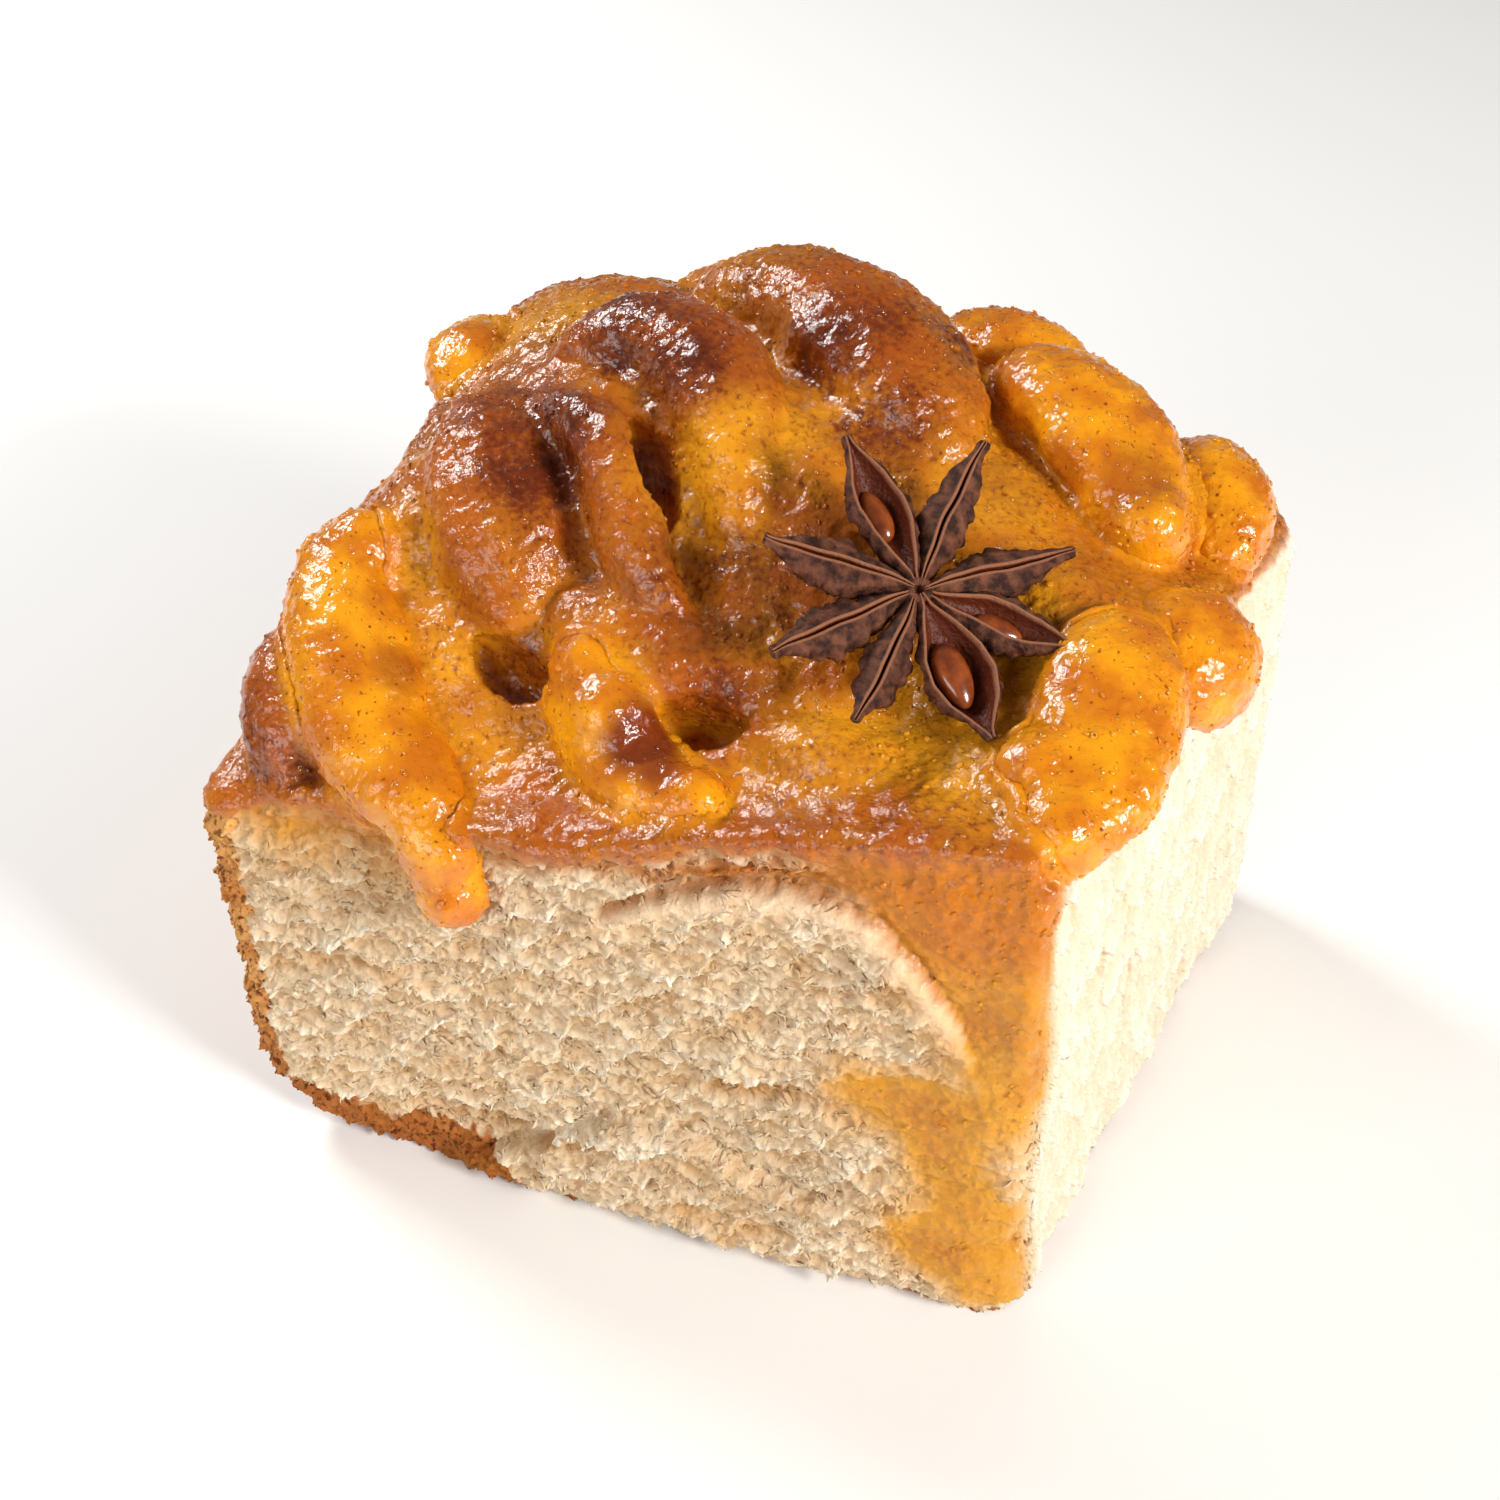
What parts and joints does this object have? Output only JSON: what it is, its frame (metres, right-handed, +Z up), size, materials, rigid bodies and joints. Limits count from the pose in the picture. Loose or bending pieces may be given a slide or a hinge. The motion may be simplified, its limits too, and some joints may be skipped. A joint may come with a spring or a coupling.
{
  "type": "pumpkin roll cake",
  "caption": "Soft square bun torn from a tray, rolled up round pumpkin jam, twisted and glazed on top under strips of jam, with one star anise pod.",
  "frame": {"origin": "centre of the footprint, on the surface that the cake rests on", "axes": "+Z up; -Y out of the torn front, where the roll's jam layer shows; +X out of the torn right side; the browned crust sides are at -X and +Y"},
  "size_m": [0.0899, 0.0779, 0.0794],
  "materials": {
    "dough": "baked enriched dough: golden brown and glazed on top, pale cream crumb where torn",
    "jam_filling": "moist pumpkin jam baked into the dough",
    "jam": "glossy amber pumpkin jam with fine spice specks",
    "anise_husk": "dry dark brown woody husk, dull, paler along its lips",
    "anise_seed": "smooth polished chestnut brown seed"
  },
  "bodies": {
    "root": {"roll": "dough", "filling": "jam_filling", "jam_strip_left": "jam", "jam_strip_front": "jam", "jam_strip_right": "jam", "jam_lump_right": "jam", "jam_corner": "jam", "jam_lump_back_right": "jam", "jam_lump_back": "jam", "jam_lump_back_left": "jam", "jam_lump_left": "jam", "star_anise": "anise_husk", "anise_seed_1": "anise_seed", "anise_seed_2": "anise_seed", "anise_seed_3": "anise_seed"}
  },
  "joints": []
}
